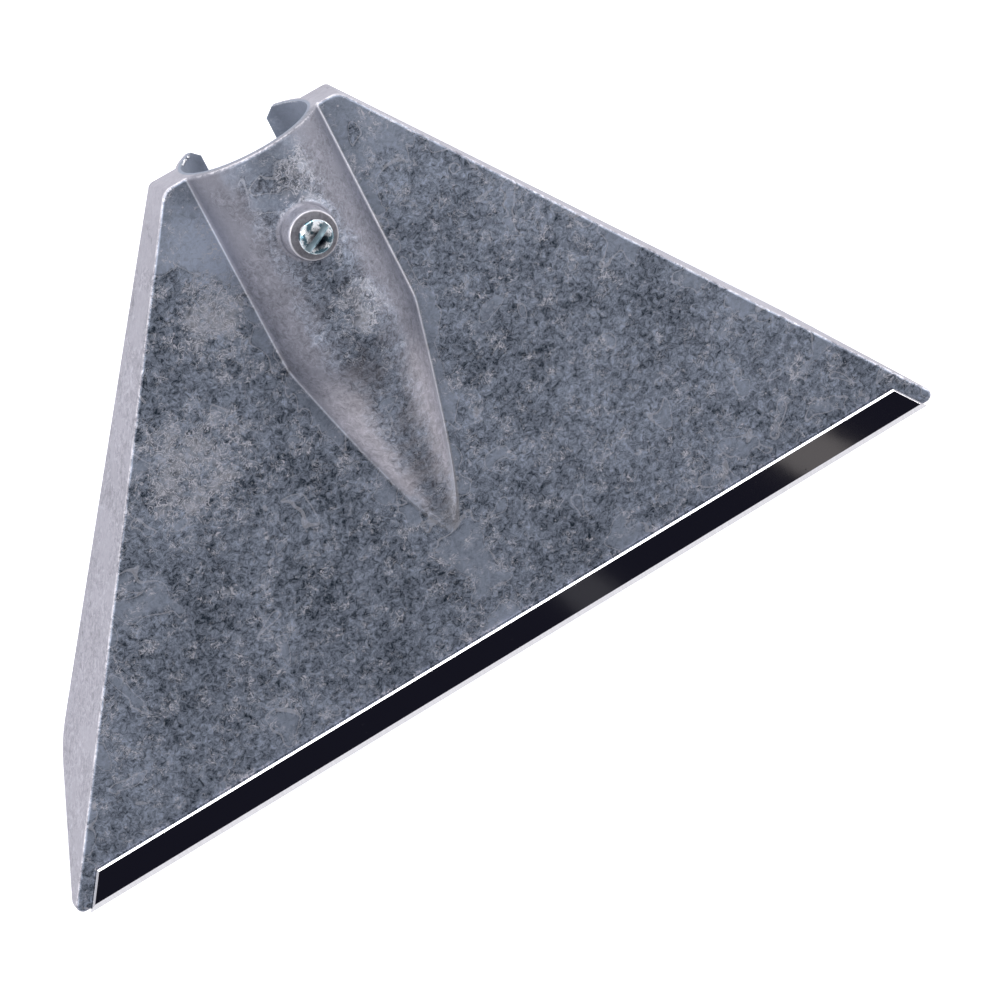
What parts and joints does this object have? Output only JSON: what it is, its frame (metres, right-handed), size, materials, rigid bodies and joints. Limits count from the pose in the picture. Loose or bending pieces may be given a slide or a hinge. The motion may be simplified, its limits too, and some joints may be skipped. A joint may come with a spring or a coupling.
{
  "type": "scraper head",
  "caption": "Trapezoidal cast scraper head with turned side walls, a round pole socket with a clamp screw, and a polished steel blade let into the wide edge.",
  "frame": {"origin": "centre of the pole socket's mouth, on the socket's axis", "axes": "+Y leaves the socket along the pole, +Z points out of the smooth front face, +X runs along the blade"},
  "size_m": [0.2134, 0.1252, 0.0434],
  "materials": {
    "cast_aluminium": "as die cast, matt blue-grey mottle with bright worn edges",
    "polished_steel": "mirror polished with a ground bevel",
    "plain_steel": "peened, satin",
    "zinc_plated_steel": "bright zinc plate, slightly blue"
  },
  "bodies": {
    "head": {"cast_body": "cast_aluminium", "blade": "polished_steel", "blade_studs": "plain_steel"},
    "screw": {"clamp_screw": "zinc_plated_steel"}
  },
  "joints": [
    {"name": "clamp_screw_travel", "type": "slide", "parent": "head", "child": "screw", "axis": [0, 0, -1], "range_m": [-0.006, 0.00085]}
  ]
}
